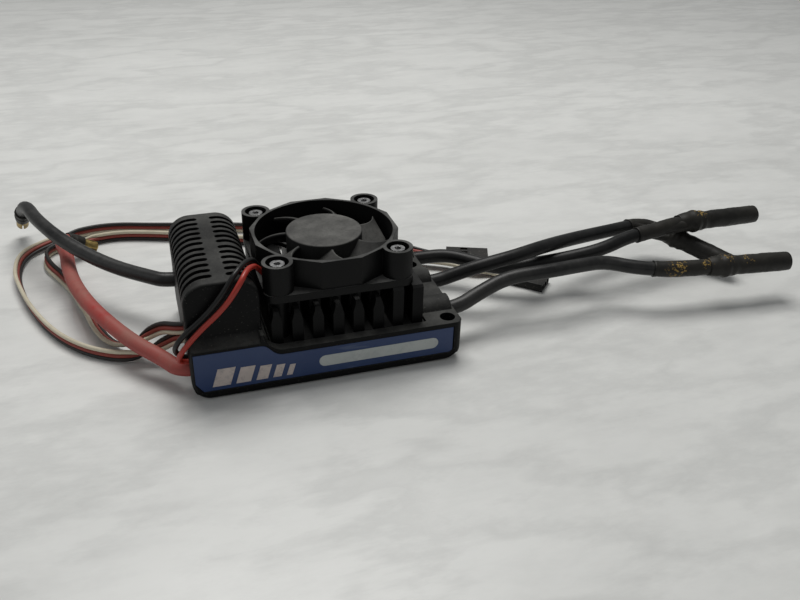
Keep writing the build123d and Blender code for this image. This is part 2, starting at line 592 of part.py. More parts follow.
# ---------------------------------------------------------------- signal leads
LEAD_Z = RIBBON_T / 2 + 0.15
SIGNAL_ROUTES = {
    "1": [(HEADER_FACE, -9.0, 13.2), (-38.0, -9.0, 13.2), (-41.8, -3.8, 11.4), (-45.6, 0.4, 7.4),
          (-50.0, 2.2, 3.0), (-54.9, 5.3, LEAD_Z), (-59.0, 13.1, LEAD_Z), (-61.7, 25.0, LEAD_Z),
          (-64.7, 37.4, LEAD_Z), (-69.5, 49.5, LEAD_Z), (-74.9, 60.4, LEAD_Z), (-75.5, 69.5, LEAD_Z),
          (-71.2, 73.4, LEAD_Z), (-62.4, 74.8, LEAD_Z), (-53.0, 77.0, LEAD_Z), (-41.0, 73.8, LEAD_Z),
          (-20.0, 65.6, LEAD_Z), (12.0, 50.4, LEAD_Z), (40.0, 31.4, LEAD_Z), (52.2, 25.4, LEAD_Z),
          (58.4, 18.4, LEAD_Z), (63.6, 18.4, LEAD_Z), (67.2, 14.9, LEAD_Z)],
    "2": [(HEADER_FACE, -9.0, 10.9), (-38.0, -9.0, 10.9), (-41.2, -5.4, 7.4), (-45.4, -2.6, 3.4),
          (-50.3, -2.0, 1.3), (-56.3, 0.4, LEAD_Z), (-63.8, 6.0, LEAD_Z), (-70.8, 15.2, LEAD_Z),
          (-76.9, 28.4, LEAD_Z), (-81.3, 42.8, LEAD_Z), (-84.2, 57.0, LEAD_Z), (-82.8, 69.8, LEAD_Z),
          (-76.0, 76.6, LEAD_Z), (-67.0, 82.2, LEAD_Z), (-54.6, 84.6, LEAD_Z), (-38.0, 79.2, LEAD_Z),
          (-8.5, 72.0, LEAD_Z), (22.0, 56.8, LEAD_Z), (46.4, 35.6, LEAD_Z), (53.9, 32.7, LEAD_Z)],
}
PLUG_L, PLUG_W, PLUG_T = 14.0, 7.6, 2.6
for number, route in SIGNAL_ROUTES.items():
    lead = ribbon_cord(f"signal_lead_{number}", route)
    write(lead.part, f"signal_lead_{number}")
    back, heading = Vector(*route[-1]), Vector(*route[-1]) - Vector(*route[-2])
    axis = Vector(heading.X, heading.Y, 0).normalized()
    base = Vector(back.X, back.Y, 0.1 + PLUG_T / 2)
    across = Vector(-axis.Y, axis.X, 0)
    with BuildPart() as housing:
        with BuildSketch(Plane(origin=base, x_dir=across, z_dir=axis)):
            Rectangle(PLUG_W, PLUG_T)
        extrude(amount=PLUG_L)
        fillet(housing.edges().filter_by(lambda e: abs((e % 0.5).dot(axis)) > 0.99), radius=0.3)
        # Three contact cavities, open at the front
        with BuildSketch(Plane(origin=base + axis * PLUG_L, x_dir=across, z_dir=axis)):
            with GridLocations(2.54, 1, 3, 1):
                Rectangle(1.9, 1.6)
        extrude(amount=-(PLUG_L - 1.5), mode=Mode.SUBTRACT)
        # Windows over the contacts
        with BuildSketch(Plane(origin=base + axis * 6.0 + Vector(0, 0, PLUG_T / 2), x_dir=across,
                               z_dir=(0, 0, 1))):
            with GridLocations(2.54, 1, 3, 1):
                Rectangle(1.3, 2.4)
        extrude(amount=-1.0, mode=Mode.SUBTRACT)
    write(housing.part, f"signal_plug_{number}")
    with BuildPart() as contacts:
        with BuildSketch(Plane(origin=base + axis * 1.5, x_dir=across, z_dir=axis)):
            with GridLocations(2.54, 1, 3, 1):
                Rectangle(1.5, 1.2)
                Rectangle(0.8, 0.7, mode=Mode.SUBTRACT)
        extrude(amount=10.0)
    write(contacts.part, f"signal_contacts_{number}")

# ---------------------------------------------------------------- fan lead
FAN_WIRE_ROUTES = {
    "black": [(-15.2, -10.7, 28.4), (-16.8, -11.0, 31.0), (-18.0, -13.2, 33.2), (-20.6, -16.8, 34.2),
              (-23.6, -21.6, 33.8), (-27.0, -23.0, 29.6), (-30.4, -22.4, 25.2), (-33.8, -22.2, 22.0),
              (-36.8, -22.0, 19.4), (-39.4, -21.2, 16.0), (-39.6, -18.4, 12.0), (-36.8, -17.8, 9.4),
              (-29.0, -17.8, 9.4)],
    "red": [(-15.2, -12.6, 28.4), (-16.8, -13.0, 30.8), (-18.2, -15.6, 32.4), (-20.2, -20.0, 34.0),
            (-22.4, -23.8, 32.8), (-25.4, -23.8, 28.2), (-28.6, -23.2, 24.4), (-32.4, -22.9, 21.0),
            (-35.8, -22.9, 17.6), (-38.6, -22.2, 13.8), (-39.2, -20.0, 10.4), (-36.2, -19.4, 9.4),
            (-29.0, -19.4, 9.4)],
}
for colour, route in FAN_WIRE_ROUTES.items():
    wire = round_cord(f"fan_wire_{colour}", route, FAN_WIRE_D)
    write(wire.part, f"fan_wire_{colour}")

print(len(NAMES), "pieces:", ", ".join(NAMES))
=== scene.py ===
"""Looks for the electronic speed controller: camera, cords, materials and small details
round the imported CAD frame. Route and label points are in millimetres, and are turned into
metres as they are used. Everything else is in metres, apart from what its comment says."""

import json
import math

import bmesh
import bpy
from mathutils import Euler, Matrix, Vector, noise

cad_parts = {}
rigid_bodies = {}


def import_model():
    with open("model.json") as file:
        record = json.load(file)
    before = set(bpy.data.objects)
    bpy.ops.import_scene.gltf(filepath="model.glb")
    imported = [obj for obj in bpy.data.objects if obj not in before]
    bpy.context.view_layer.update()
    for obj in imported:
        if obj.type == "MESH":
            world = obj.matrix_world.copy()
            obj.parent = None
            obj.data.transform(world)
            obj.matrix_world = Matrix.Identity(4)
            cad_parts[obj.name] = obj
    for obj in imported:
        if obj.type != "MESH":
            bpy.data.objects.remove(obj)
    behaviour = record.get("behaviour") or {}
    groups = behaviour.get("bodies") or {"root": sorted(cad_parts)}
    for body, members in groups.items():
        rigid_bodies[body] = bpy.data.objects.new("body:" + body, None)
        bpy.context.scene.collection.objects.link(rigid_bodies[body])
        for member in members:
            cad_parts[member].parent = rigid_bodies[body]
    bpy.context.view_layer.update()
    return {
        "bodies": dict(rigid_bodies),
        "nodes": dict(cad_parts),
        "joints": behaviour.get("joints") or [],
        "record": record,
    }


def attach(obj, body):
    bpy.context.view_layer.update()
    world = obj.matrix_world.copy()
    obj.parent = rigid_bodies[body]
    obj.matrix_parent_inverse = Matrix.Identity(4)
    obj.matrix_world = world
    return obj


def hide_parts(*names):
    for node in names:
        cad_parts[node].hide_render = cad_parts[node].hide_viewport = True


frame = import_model()
NODES = frame["nodes"]
MM = 0.001

# ---------------------------------------------------------------- camera, floor and light
CAMERA_PLACE = Vector((-42.545, -199.705, 131.084)) * MM
# Turns about X, Y and Z in degrees: tilted up from straight down, and swung to the right
CAMERA_ANGLES = (60.1479, -0.6358, -17.0094)
camera = bpy.data.objects.new("camera", bpy.data.cameras.new("camera"))
camera_turn = Euler([math.radians(angle) for angle in CAMERA_ANGLES])
camera.matrix_world = Matrix.LocRotScale(CAMERA_PLACE, camera_turn, None)
camera.data.lens = 37.36
camera.data.sensor_width = 36.0
camera.data.shift_x = 0.0264
camera.data.shift_y = -0.0127
camera.data.clip_start = 0.01
bpy.context.scene.collection.objects.link(camera)
bpy.context.scene.camera = camera
bpy.context.scene.view_settings.view_transform = "Standard"


def area_light(name, place, target, size, power, colour):
    """A rectangular lamp at a place in metres, turned to face its target."""
    lamp = bpy.data.lights.new(name, "AREA")
    lamp.shape = "RECTANGLE"
    lamp.size, lamp.size_y = size
    lamp.energy = power
    lamp.color = colour
    obj = bpy.data.objects.new(name, lamp)
    obj.location = place
    obj.rotation_euler = (Vector(target) - Vector(place)).to_track_quat("-Z", "Y").to_euler()
    bpy.context.scene.collection.objects.link(obj)


area_light("overhead", (0.04, 0.27, 0.68), (0, 0.03, 0), (0.46, 0.38), 4.1, (1.0, 0.99, 0.97))
area_light("window", (-0.65, -0.05, 0.40), (0, 0, 0.02), (0.5, 0.5), 0.45, (0.96, 0.98, 1.0))
area_light("front", (0.15, -0.75, 0.45), (0, 0, 0.01), (0.7, 0.4), 0.22, (1.0, 0.99, 0.97))
world = bpy.data.worlds.new("world")
world.use_nodes = True
background = world.node_tree.nodes["Background"]
background.inputs["Color"].default_value = (0.93, 0.95, 0.96, 1)
background.inputs["Strength"].default_value = 0.22
bpy.context.scene.world = world


# ---------------------------------------------------------------- materials
class Shader:
    """A principled material whose node graph is put together with short calls."""

    # Places of a colour Mix node's sockets, whose names repeat for each kind of value
    MIX_FACTOR, MIX_A, MIX_B, MIX_OUT = 0, 6, 7, 2

    def __init__(self, name, metallic=0.0, specular=0.5):
        self.material = bpy.data.materials.new(name)
        self.material.use_nodes = True
        self.tree = self.material.node_tree
        self.bsdf = self.tree.nodes["Principled BSDF"]
        self.bsdf.inputs["Metallic"].default_value = metallic
        self.bsdf.inputs["Specular IOR Level"].default_value = specular
        self.coords = self.add("ShaderNodeTexCoord").outputs["Object"]

    def add(self, kind, **settings):
        """A new node with some of its settings changed."""
        node = self.tree.nodes.new(kind)
        for key, value in settings.items():
            setattr(node, key, value)
        return node

    def put(self, socket, value):
        """Links a socket to another, or gives it a fixed number or colour."""
        if isinstance(value, bpy.types.NodeSocket):
            self.tree.links.new(value, socket)
        elif isinstance(value, tuple) and len(value) == 3 and len(socket.default_value) == 4:
            socket.default_value = (*value, 1)
        else:
            socket.default_value = value

    def noise(self, scale, detail, rough, stretch=None):
        """Noise in object space; scale is in cycles per metre."""
        node = self.add("ShaderNodeTexNoise")
        coords = self.coords
        if stretch:
            mapping = self.add("ShaderNodeMapping")
            mapping.inputs["Scale"].default_value = stretch
            self.put(mapping.inputs["Vector"], coords)
            coords = mapping.outputs["Vector"]
        self.put(node.inputs["Vector"], coords)
        node.inputs["Scale"].default_value = scale
        node.inputs["Detail"].default_value = detail
        node.inputs["Roughness"].default_value = rough
        return node.outputs["Fac"]

    def band(self, value, low, high, out_low=0.0, out_high=1.0):
        """Stretches the values from low to high over another range, and holds them there."""
        node = self.add("ShaderNodeMapRange")
        self.put(node.inputs["Value"], value)
        node.inputs["From Min"].default_value = low
        node.inputs["From Max"].default_value = high
        node.inputs["To Min"].default_value = out_low
        node.inputs["To Max"].default_value = out_high
        return node.outputs["Result"]

    def math(self, operation, a, b):
        """One sum, held between 0 and 1, so nothing negative is passed on."""
        node = self.add("ShaderNodeMath", operation=operation, use_clamp=True)
        self.put(node.inputs[0], a)
        self.put(node.inputs[1], b)
        return node.outputs[0]

    def mix(self, factor, a, b):
        """Colour a where the factor is 0, colour b where it is 1."""
        node = self.add("ShaderNodeMix", data_type="RGBA")
        self.put(node.inputs[self.MIX_FACTOR], factor)
        self.put(node.inputs[self.MIX_A], a)
        self.put(node.inputs[self.MIX_B], b)
        return node.outputs[self.MIX_OUT]

    def near(self, spot, reach):
        """1 round a spot, falling to 0 at its reach."""
        node = self.add("ShaderNodeVectorMath", operation="DISTANCE")
        self.put(node.inputs[0], self.coords)
        node.inputs[1].default_value = spot
        return self.band(node.outputs["Value"], reach * 0.35, reach, 1.0, 0.0)

    def facing_up(self):
        """1 on faces that look straight up, 0 on upright ones."""
        geometry = self.add("ShaderNodeNewGeometry")
        split = self.add("ShaderNodeSeparateXYZ")
        self.put(split.inputs[0], geometry.outputs["Normal"])
        return split.outputs["Z"]

    def bump(self, height, strength, distance, round_edges=0.0):
        """Relief from a height, over edges softened by a radius in metres."""
        node = self.add("ShaderNodeBump")
        node.inputs["Strength"].default_value = strength
        node.inputs["Distance"].default_value = distance
        self.put(node.inputs["Height"], height)
        if round_edges:
            bevel = self.add("ShaderNodeBevel", samples=4)
            bevel.inputs["Radius"].default_value = round_edges
            self.put(node.inputs["Normal"], bevel.outputs["Normal"])
        return node.outputs["Normal"]

    def finish(self, colour, roughness, normal=None):
        """Joins the finished values to the surface and gives the material."""
        self.put(self.bsdf.inputs["Base Color"], colour)
        self.put(self.bsdf.inputs["Roughness"], roughness)
        if normal is not None:
            self.put(self.bsdf.inputs["Normal"], normal)
        return self.material


def moulded(name, base, dust=(0.16, 0.155, 0.145), top_dust=0.35, all_dust=0.12, rough=0.5,
            grain=0.25, grain_size=0.35, edge=0.0003, specular=0.5, specks=0.0):
    """Moulded plastic or paint: fine grain, mottled dust that settles on upward faces."""
    shader = Shader(name, specular=specular)
    broad = shader.noise(90, 4, 0.62)
    fine = shader.noise(1300, 3, 0.7)
    patches = shader.band(broad, 0.38, 0.72)
    film = shader.math("MULTIPLY", shader.band(shader.facing_up(), 0.25, 1.0), top_dust)
    mottle = shader.band(patches, 0, 1, 0.45, 1.5)
    amount = shader.math("MULTIPLY", shader.math("ADD", film, all_dust), mottle)
    colour = shader.mix(amount, base, dust)
    if specks:
        dots = shader.band(shader.noise(2200, 1, 0.4), 0.70, 0.74)
        colour = shader.mix(shader.math("MULTIPLY", dots, specks), colour, (0.42, 0.40, 0.36))
    dark = tuple(v * 0.6 for v in base)
    colour = shader.mix(shader.math("MULTIPLY", shader.band(fine, 0.5, 0.75), 0.35), colour, dark)
    roughness = shader.band(amount, 0.0, 0.6, rough, min(rough + 0.28, 0.95))
    normal = shader.bump(shader.noise(1000 / grain_size, 2, 0.5), grain, 0.00006, edge)
    return shader.finish(colour, roughness, normal)


# Ochre specks on the heat-shrink: middle and radius of each cluster, in metres
SPECK_SPOTS = (((0.1087, -0.0165, 0.0135), 0.0052), ((0.1180, -0.0170, 0.0140), 0.0030),
               ((0.1255, -0.0170, 0.0150), 0.0034), ((0.1320, -0.0180, 0.0140), 0.0032),
               ((0.1325, 0.0072, 0.0190), 0.0042), ((0.0985, 0.0100, 0.0150), 0.0030))


def rubbery(name, base, dust, dusty, rough, grime, speck_colour=None, specular=0.45):
    """Silicone or shrunk sleeve: dust in streaks and patches, grime, optional ochre specks."""
    shader = Shader(name, specular=specular)
    broad = shader.band(shader.noise(55, 5, 0.65), 0.36, 0.70)
    streak = shader.band(shader.noise(420, 4, 0.7), 0.42, 0.78)
    up = shader.band(shader.facing_up(), -0.1, 1.0)
    amount = shader.math("MULTIPLY", shader.math("ADD", broad, shader.math("MULTIPLY", streak, 0.5)), dusty)
    amount = shader.math("MULTIPLY", amount, shader.band(up, 0, 1, 0.5, 1.4))
    colour = shader.mix(amount, base, dust)
    stain = shader.band(shader.noise(240, 5, 0.7), 0.58, 0.72)
    colour = shader.mix(shader.math("MULTIPLY", stain, grime), colour, tuple(v * 0.35 for v in base))
    if speck_colour:
        near = 0.0
        for spot, reach in SPECK_SPOTS:
            near = shader.math("MAXIMUM", near, shader.near(spot, reach))
        cut = shader.math("SUBTRACT", 0.67, shader.math("MULTIPLY", near, 0.12))
        dots = shader.math("MULTIPLY", shader.math("GREATER_THAN", shader.noise(1150, 3, 0.65), cut), near)
        colour = shader.mix(shader.math("MULTIPLY", dots, 0.85), colour, speck_colour)
    roughness = shader.band(amount, 0.0, 0.6, rough, min(rough + 0.3, 0.95))
    normal = shader.bump(shader.noise(700, 4, 0.65), 0.35, 0.00012)
    return shader.finish(colour, roughness, normal)


def metal(name, base, rough, dirt, dirty):
    """Bare or plated metal with dirt in patches and fine scratches."""
    shader = Shader(name, metallic=1.0)
    patches = shader.band(shader.noise(420, 4, 0.65), 0.45, 0.70)
    amount = shader.math("MULTIPLY", patches, dirty)
    colour = shader.mix(amount, base, dirt)
    roughness = shader.band(shader.noise(1500, 3, 0.6), 0.3, 0.7, rough * 0.8, rough * 1.4)
    normal = shader.bump(shader.noise(2600, 2, 0.5, stretch=(1, 1, 6)), 0.2, 0.00003, 0.0001)
    return shader.finish(colour, roughness, normal)


BLACK = (0.0030, 0.0032, 0.0034)
MATERIALS = {
    "case": moulded("case_plastic", BLACK, dust=(0.125, 0.125, 0.118), top_dust=0.42, all_dust=0.006,
                    rough=0.46, grain=0.35, grain_size=0.40, edge=0.00035, specular=0.12, specks=0.12),
    "sink": moulded("black_anodised", (0.0028, 0.0029, 0.0032), dust=(0.10, 0.10, 0.097), top_dust=0.22,
                    all_dust=0.01, rough=0.40, grain=0.2, grain_size=0.3, edge=0.00025, specular=0.12),
    "fan": moulded("fan_plastic", (0.0035, 0.0036, 0.0038), dust=(0.14, 0.14, 0.135), top_dust=0.60,
                   all_dust=0.012, rough=0.42, grain=0.18, grain_size=0.3, edge=0.0003, specular=0.15),
    "rotor": moulded("rotor_plastic", (0.012, 0.012, 0.012), dust=(0.15, 0.148, 0.14), top_dust=0.62,
                     all_dust=0.10, rough=0.55, grain=0.2, grain_size=0.25, edge=0.0002, specular=0.2),
    "black_wire": rubbery("black_silicone", (0.0042, 0.0044, 0.0047), dust=(0.11, 0.11, 0.104),
                          dusty=0.10, rough=0.36, grime=0.5, specular=0.25),
    "dusty_wire": rubbery("dusty_silicone", (0.0045, 0.0046, 0.005), dust=(0.12, 0.118, 0.11),
                          dusty=0.19, rough=0.34, grime=0.4, specular=0.35),
    "red_wire": rubbery("red_silicone", (0.34, 0.030, 0.026), dust=(0.25, 0.16, 0.125), dusty=0.42,
                        rough=0.42, grime=0.3),
    "fan_red": rubbery("fan_red", (0.36, 0.024, 0.014), dust=(0.30, 0.12, 0.09), dusty=0.12, rough=0.35,
                       grime=0.2),
    "fan_black": rubbery("fan_black", (0.004, 0.004, 0.004), dust=(0.07, 0.068, 0.064), dusty=0.12,
                         rough=0.34, grime=0.3, specular=0.3),
    "shrink": rubbery("heat_shrink", (0.0080, 0.0075, 0.0062), dust=(0.085, 0.078, 0.062), dusty=0.14,
                      rough=0.46, grime=0.4, speck_colour=(0.34, 0.22, 0.055), specular=0.3),
    "gold": metal("gold_plate", (0.40, 0.29, 0.11), rough=0.40, dirt=(0.10, 0.075, 0.035), dirty=0.85),
    "lead_black": rubbery("lead_black", (0.006, 0.0058, 0.0058), dust=(0.10, 0.09, 0.08), dusty=0.16,
                          rough=0.45, grime=0.3),
    "lead_red": rubbery("lead_red", (0.26, 0.030, 0.020), dust=(0.24, 0.12, 0.09), dusty=0.30,
                        rough=0.45, grime=0.5),
    "lead_white": rubbery("lead_white", (0.62, 0.57, 0.44), dust=(0.40, 0.35, 0.25), dusty=0.45,
                          rough=0.45, grime=0.2),
    "plug": moulded("plug_plastic", (0.008, 0.0075, 0.007), dust=(0.10, 0.095, 0.08), top_dust=0.10,
                    all_dust=0.03, rough=0.48, grain=0.2, grain_size=0.3, edge=0.0002, specular=0.3,
                    specks=0.5),
    "screw": metal("blackened_steel", (0.40, 0.40, 0.40), rough=0.30, dirt=(0.03, 0.03, 0.03),
                   dirty=0.35),
    "steel": metal("plain_steel", (0.50, 0.50, 0.50), rough=0.30, dirt=(0.10, 0.09, 0.08), dirty=0.2),
    "copper": metal("copper", (0.62, 0.30, 0.15), rough=0.34, dirt=(0.20, 0.09, 0.05), dirty=0.3),
    "magnet": moulded("magnet", (0.030, 0.028, 0.027), rough=0.7),
    "board": moulded("solder_mask", (0.006, 0.060, 0.022), dust=(0.03, 0.10, 0.05), top_dust=0.3,
                     all_dust=0.1, rough=0.35, grain=0.3, grain_size=0.8),
    "chip": moulded("chip_epoxy", (0.015, 0.015, 0.016), rough=0.55),
    "header": moulded("header_nylon", (0.60, 0.57, 0.48), dust=(0.40, 0.37, 0.30), rough=0.5),
    "pad": moulded("thermal_pad", (0.36, 0.38, 0.44), dust=(0.30, 0.30, 0.32), rough=0.8),
    "can": moulded("capacitor_sleeve", (0.020, 0.020, 0.040), dust=(0.06, 0.06, 0.07), rough=0.3),
}


def label_film():
    """Navy printed film: gloss with rubbed, dusty patches and fine scratches."""
    shader = Shader("label_film", specular=0.5)
    rubbed = shader.band(shader.noise(120, 5, 0.7), 0.50, 0.80)
    scratches = shader.band(shader.noise(500, 2, 0.5, stretch=(0.15, 1, 1)), 0.66, 0.72)
    colour = shader.mix(shader.math("MULTIPLY", rubbed, 0.35), (0.009, 0.033, 0.120), (0.035, 0.070, 0.15))
    colour = shader.mix(shader.math("MULTIPLY", scratches, 0.22), colour, (0.14, 0.17, 0.24))
    roughness = shader.band(rubbed, 0, 1, 0.30, 0.48)
    return shader.finish(colour, roughness, shader.bump(shader.noise(160, 3, 0.5), 0.15, 0.00008, 0.0001))


def printed(name, base, worn, wear):
    """Ink on the label, partly rubbed away."""
    shader = Shader(name, specular=0.45)
    rubbed = shader.band(shader.noise(650, 4, 0.75), 0.50, 0.66)
    stain = shader.band(shader.noise(160, 4, 0.6), 0.45, 0.75)
    colour = shader.mix(shader.math("MULTIPLY", rubbed, wear), base, worn)
    colour = shader.mix(shader.math("MULTIPLY", stain, 0.25), colour, tuple(v * 0.6 for v in base))
    return shader.finish(colour, shader.band(rubbed, 0, 1, 0.35, 0.55), shader.bump(rubbed, 0.1, 0.00003))


MATERIALS["label"] = label_film()
MATERIALS["ink"] = printed("pale_ink", (0.55, 0.48, 0.45), (0.12, 0.12, 0.16), 0.35)
MATERIALS["patch"] = printed("pale_patch", (0.46, 0.49, 0.48), (0.25, 0.28, 0.32), 0.25)


def floor_material():
    """Pale polished stone: broad clouds, thin veins and fine grain."""
    grey = (0.42, 0.425, 0.415)
    shader = Shader("floor", specular=0.4)
    drift = shader.noise(11, 7, 0.62, stretch=(1.0, 2.4, 1.0))
    veins = shader.math("MULTIPLY", shader.band(drift, 0.44, 0.50), shader.band(drift, 0.50, 0.56, 1.0, 0.0))
    clouds = shader.band(shader.noise(5, 6, 0.62, stretch=(1.0, 1.8, 1.0)), 0.28, 0.78)
    grain = shader.band(shader.noise(48, 6, 0.7, stretch=(1.0, 2.2, 1.0)), 0.42, 0.80)
    colour = shader.mix(shader.math("MULTIPLY", clouds, 0.65), (0.78, 0.785, 0.765), (0.54, 0.545, 0.53))
    colour = shader.mix(shader.math("MULTIPLY", veins, 0.26), colour, grey)
    colour = shader.mix(shader.math("MULTIPLY", grain, 0.28), colour, grey)
    return shader.finish(colour, shader.band(clouds, 0, 1, 0.30, 0.42))


floor_mesh = bpy.data.meshes.new("floor")
floor_mesh.from_pydata([(-3, -3, 0), (3, -3, 0), (3, 3, 0), (-3, 3, 0)], [], [(0, 1, 2, 3)])
floor = bpy.data.objects.new("floor", floor_mesh)
floor.data.materials.append(floor_material())
bpy.context.scene.collection.objects.link(floor)

# The CAD nodes that stay in view or inside, by the material that each gets
DRESS = {
    "case": ("lower_case", "upper_cover"), "sink": ("heatsink",), "fan": ("fan_frame",),
    "rotor": ("fan_rotor",), "label": ("side_label",), "pad": ("thermal_pad",),
    "board": ("power_board", "control_board", "fan_board"),
    "chip": ("mosfets", "microcontroller", "optocouplers", "signal_header"),
    "header": ("fan_header",), "can": ("capacitors",), "magnet": ("fan_magnet",),
    "copper": ("motor_terminals", "battery_terminals", "fan_coils", "fan_bearing"),
    "steel": ("fan_shaft", "fan_shaft_clip", "fan_stator", "board_pins"),
    "screw": ("fan_screws", "case_screws"),
    "plug": ("signal_plug_1", "signal_plug_2"),
    "gold": ("motor_bullet_a", "motor_bullet_b", "motor_bullet_c", "battery_bullet_positive",
             "battery_bullet_negative", "signal_contacts_1", "signal_contacts_2"),
}
for key, names in DRESS.items():
    for name in names:
        for material_slot in NODES[name].material_slots:
            material_slot.material = MATERIALS[key]


# ---------------------------------------------------------------- cords
def link(name, data):
    """A new piece that rides on the case."""
    obj = bpy.data.objects.new(name, data)
    bpy.context.scene.collection.objects.link(obj)
    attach(obj, "body")
    return obj


def nurbs(name, points, diameter=0.0):
    """The smooth line through a route's points, round when it has a diameter."""
    data = bpy.data.curves.new(name, "CURVE")
    data.dimensions = "3D"
    spline = data.splines.new("NURBS")
    spline.points.add(len(points) - 1)
    for point, place in zip(spline.points, points):
        point.co = (place[0] * MM, place[1] * MM, place[2] * MM, 1)
        # The tube's radius is set here, times a bevel depth of 1, because Blender pads a
        # curve's box by its point radius, which is a whole metre where nothing sets it.
        point.radius = diameter * MM / 2
    spline.order_u = 3
    spline.use_endpoint_u = True
    spline.resolution_u = 10
    data.bevel_depth = 1.0 if diameter else 0.0
    data.bevel_resolution = 6
    data.use_fill_caps = diameter > 0
    return data


def followed(points):
    """Places along a route's smooth line, as Blender draws it, in metres."""
    probe = bpy.data.objects.new("probe", nurbs("probe", points))
    mesh = bpy.data.meshes.new_from_object(probe)
    places = [v.co.copy() for v in mesh.vertices]
    bpy.data.objects.remove(probe)
    bpy.data.meshes.remove(mesh)
    return places


def frames_along(places):
    """Tangent, level sideways direction and the third direction at each place."""
    nearly_upright = 0.05
    found = []
    for i, place in enumerate(places):
        tangent = (places[min(i + 1, len(places) - 1)] - places[max(i - 1, 0)]).normalized()
        side = Vector((0, 0, 1)).cross(tangent)
        if side.length < nearly_upright:
            side = found[-1][1]
        side = (side - tangent * side.dot(tangent)).normalized()
        found.append((tangent, side, tangent.cross(side)))
    return found


def ring_of(mesh, centre, frame, sides, reach):
    """New vertices round a centre; reach(angle) is in metres."""
    _, side, third = frame
    angles = [2 * math.pi * k / sides for k in range(sides)]
    return [mesh.verts.new(centre + (side * math.cos(angle) + third * math.sin(angle)) * reach(angle))
            for angle in angles]


def skin(mesh, places, frames, radius, index=0, sides=20, shift=None, inner=0.0):
    """Adds a closed tube to a bmesh, or a pipe when it has an inner radius.

    radius(share, angle) is in metres, and shift moves each ring off the line."""
    total = len(places) - 1
    rings = []
    for i, (place, frame_here) in enumerate(zip(places, frames)):
        centre = place + (shift[i] if shift else Vector())
        rings.append(ring_of(mesh, centre, frame_here, sides, lambda angle: radius(i / total, angle)))
    if inner:
        for i in (total, 0):
            rings.append(ring_of(mesh, places[i], frames[i], sides, lambda angle: inner))
        rings.append(rings[0])
    for low, high in zip(rings, rings[1:]):
        for k in range(sides):
            after = (k + 1) % sides
            face = mesh.faces.new((low[k], low[after], high[after], high[k]))
            face.smooth = True
            face.material_index = index
    if not inner:
        for ring in (rings[0][::-1], rings[-1]):
            mesh.faces.new(ring).material_index = index


def mesh_piece(name, mesh, materials):
    """Turns a finished bmesh into a piece."""
    bmesh.ops.recalc_face_normals(mesh, faces=mesh.faces)
    data = bpy.data.meshes.new(name)
    mesh.to_mesh(data)
    mesh.free()
    for material in materials:
        data.materials.append(material)
    return link(name, data)


def run_length(places):
    return sum((b - a).length for a, b in zip(places, places[1:]))


def last_part(places, length):
    """The end of a line, of a given length, in even short steps."""
    kept, left = [places[-1]], length
    for a, b in zip(reversed(places), list(reversed(places))[1:]):
        step = (b - a).length
        if step >= left:
            kept.append(a + (b - a) * (left / step))
            break
        kept.append(b)
        left -= step
    kept.reverse()
    return resampled(kept, SLEEVE_STEP)


def resampled(places, step):
    """The same line in even steps, as near to the given step as fits."""
    total = run_length(places)
    count = max(2, int(total / step))
    made, at, walked = [places[0].copy()], 0, 0.0
    for k in range(1, count):
        goal = total * k / count
        while walked + (places[at + 1] - places[at]).length < goal:
            walked += (places[at + 1] - places[at]).length
            at += 1
        stretch = places[at + 1] - places[at]
        made.append(places[at] + stretch * ((goal - walked) / stretch.length))
    made.append(places[-1].copy())
    return made


def lumpy(base, lumps, seed, rough=0.00012):
    """A shrunk sleeve's radius: (share, width, height) bumps plus small unevenness."""
    def radius(share, angle):
        reach = base + sum(h * math.exp(-((share - at) / w) ** 2) for at, w, h in lumps)
        spot = Vector((share * 9 + seed, math.cos(angle) * 1.6, math.sin(angle) * 1.6))
        return reach + rough * noise.noise(spot) + 0.5 * rough * noise.noise(spot * 3.1)
    return radius


def round_wire(node, route, diameter, material):
    """A round cord in place of its CAD node."""
    wire = link(f"{node}_skin", nurbs(node, route, diameter))
    wire.data.materials.append(MATERIALS[material])
    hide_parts(node)
    return wire


def shrink_tube(node, places, radius, inner, sides=20):
    """A piece of heat-shrink in place of its CAD node, open at both ends."""
    tube = bmesh.new()
    skin(tube, places, frames_along(places), radius, inner=inner, sides=sides)
    piece = mesh_piece(f"{node}_skin", tube, [MATERIALS["shrink"]])
    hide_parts(node)
    return piece


# Routes, wire diameters and motor sleeve lengths are in millimetres, the rest in metres
END_WALL = 0.0366
SLEEVE_STEP, COVER_STEP, LEAD_STEP = 0.0006, 0.0004, 0.0015
WIRE, FAN_WIRE = 4.3, 1.4
MOTOR_ROUTES = {
    "a": [(31.4, 18.8, 9.3), (39.6, 18.8, 9.3), (47.8, 17.2, 9.9), (54.9, 11.6, 9.3),
          (61.0, 5.9, 8.8), (70.0, 4.0, 10.0), (81.0, 2.2, 11.4), (92.5, 0.3, 13.8),
          (104.0, 3.6, 15.3), (114.5, 4.4, 15.8), (124.5, 7.2, 15.8), (135.3, 7.3, 15.6)],
    "b": [(31.4, 3.0, 9.3), (38.8, 3.0, 9.3), (45.0, 1.6, 11.9), (53.0, -0.7, 15.0),
          (62.5, -0.4, 16.2), (72.0, 2.6, 16.2), (82.0, 6.8, 15.0), (93.0, 10.6, 13.8),
          (104.5, 13.8, 12.8), (115.6, 17.3, 11.7), (122.8, 15.6, 10.4), (127.2, 9.3, 8.9)],
    "c": [(31.4, -13.2, 9.3), (38.8, -13.2, 9.3), (47.0, -10.8, 11.9), (56.5, -8.7, 14.3),
          (68.5, -10.0, 15.1), (80.5, -8.6, 14.7), (89.5, -7.4, 14.0), (97.0, -12.2, 13.3),
          (107.0, -15.4, 12.8), (118.0, -16.3, 12.5), (127.9, -17.2, 12.3)],
}
SLEEVE_L = {"a": 28.9, "b": 18.8, "c": 26.2}
SLEEVE_R, SLEEVE_BORE_R = 0.00244, 0.00216
